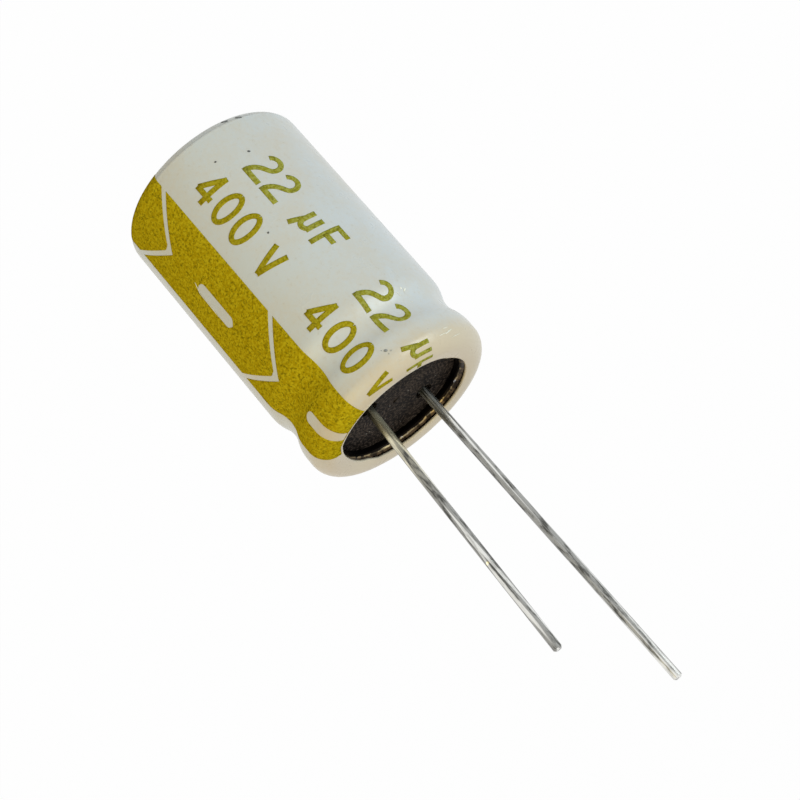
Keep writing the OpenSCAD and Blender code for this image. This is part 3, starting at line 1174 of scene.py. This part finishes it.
@dataclass(frozen=True)
class Studio:
    """Plain pale floor, soft lamps and the white that the camera and the metal see."""

    view: Viewpoint
    floor_side: float = 6.0
    floor_z: float = -0.005
    floor_colour: Colour = (0.5, 0.5, 0.5)
    white_share: float = 0.985
    ambient: Colour = (0.53, 0.545, 0.55)
    lamps: tuple[SoftBox, ...] = (
        SoftBox("key_lamp", (0.75, 0.45, 0.62), 0.60, 0.20, tint=(0.84, 0.97, 1.0)),
        SoftBox("fill_lamp", (-0.35, -0.55, 0.75), 0.45, 0.30, tint=(1.0, 0.79, 0.25)),
    )

    def _seen_white(self, tree: bpy.types.NodeTree) -> Signal:
        """1 for rays from the camera, from a reflection or through glass, else 0."""
        path = tree.nodes.new("ShaderNodeLightPath")
        kinds = ("Camera", "Glossy", "Transmission")
        camera, glossy, through = (Signal(tree, path.outputs[f"Is {kind} Ray"]) for kind in kinds)
        return camera.larger(glossy).larger(through)

    def floor(self) -> None:
        """A flat floor that shows nearly white and keeps a share of its shadows."""
        half = self.floor_side / 2.0 / MM
        corner = np.array([-half, half])
        x, y = np.meshgrid(corner, corner, indexing="ij")
        plane = surface("studio_floor", np.stack([x, y, np.full_like(x, self.floor_z)], axis=-1))
        paint = Paint("studio_floor", 0.9, sheen=0.0)
        paint.shader.inputs["Base Color"].default_value = (*self.floor_colour, 1.0)
        glow = paint.node("ShaderNodeEmission", {"Strength": 1.0})
        share = self._seen_white(paint.tree) * self.white_share
        coats = {0: share, 1: paint.shader.outputs[0], 2: glow.outputs[0]}
        blend = paint.node("ShaderNodeMixShader", coats)
        output = paint.tree.nodes["Material Output"]
        paint.tree.links.new(blend.outputs[0], output.inputs["Surface"])
        plane.data.materials.append(paint.material)

    def sky(self) -> None:
        """The world: white where it is seen, a soft plain light everywhere else."""
        world = bpy.data.worlds.new("studio_light")
        world.use_nodes = True
        tree = world.node_tree
        back = tree.nodes["Background"]
        colours = {0: self._seen_white(tree), 6: (*self.ambient, 1.0), 7: (1.0, 1.0, 1.0, 1.0)}
        mix = add_node(tree, "ShaderNodeMix", colours, data_type="RGBA")
        tree.links.new(mix.outputs[2], back.inputs["Color"])
        back.inputs["Strength"].default_value = 1.0
        bpy.context.scene.world = world

    def build(self) -> None:
        """Sets the stage."""
        self.floor()
        self.sky()
        for lamp in self.lamps:
            lamp.build(self.view)
        bpy.context.scene.view_settings.view_transform = "Standard"


# The part


@dataclass(frozen=True)
class Capacitor:
    """The dressed part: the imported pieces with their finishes, and the printed film."""

    nodes: Mapping[str, bpy.types.Object]

    def dress(self) -> None:
        """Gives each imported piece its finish."""
        finishes: dict[str, Finish] = {
            "can": Aluminium("can_aluminium", rim_line=0.0201),
            "bung": Rubber(),
            "lead_positive": Tin(),
            "winding": Paper(),
            "winding_tape": Tape(),
            "anode_tab": Aluminium("tab_aluminium", gloss=0.36),
        }
        shared = {"lead_negative": "lead_positive", "cathode_tab": "anode_tab"}
        made = {name: finish.paint() for name, finish in finishes.items()}
        for name, node in self.nodes.items():
            material = made.get(shared.get(name, name))
            if material is not None:
                node.material_slots[0].material = material
                log.info("%s dressed in %s", name, material.name)

    def film(self) -> None:
        """Makes the film and its print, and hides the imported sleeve."""
        sleeve = Sleeve()
        piece = sleeve.build(Film())
        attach(piece, BODY)
        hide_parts("sleeve")
        printer = Print(sleeve)
        coats = [printer.stripe(Ink())]
        coats += [printer.rating(row) for row in ROWS]
        coats += [printer.scuffs(batch) for batch in SCUFFS]
        for coat in coats:
            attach(coat, BODY)
            log.info("%s printed", coat.name)


def main() -> None:
    """Loads the frame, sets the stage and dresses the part."""
    logging.basicConfig(level=logging.INFO)
    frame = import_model()
    view = Viewpoint()
    view.build()
    Studio(view).build()
    part = Capacitor(frame["nodes"])
    part.dress()
    part.film()
    bpy.context.view_layer.update()


if __name__ == "__main__":
    main()
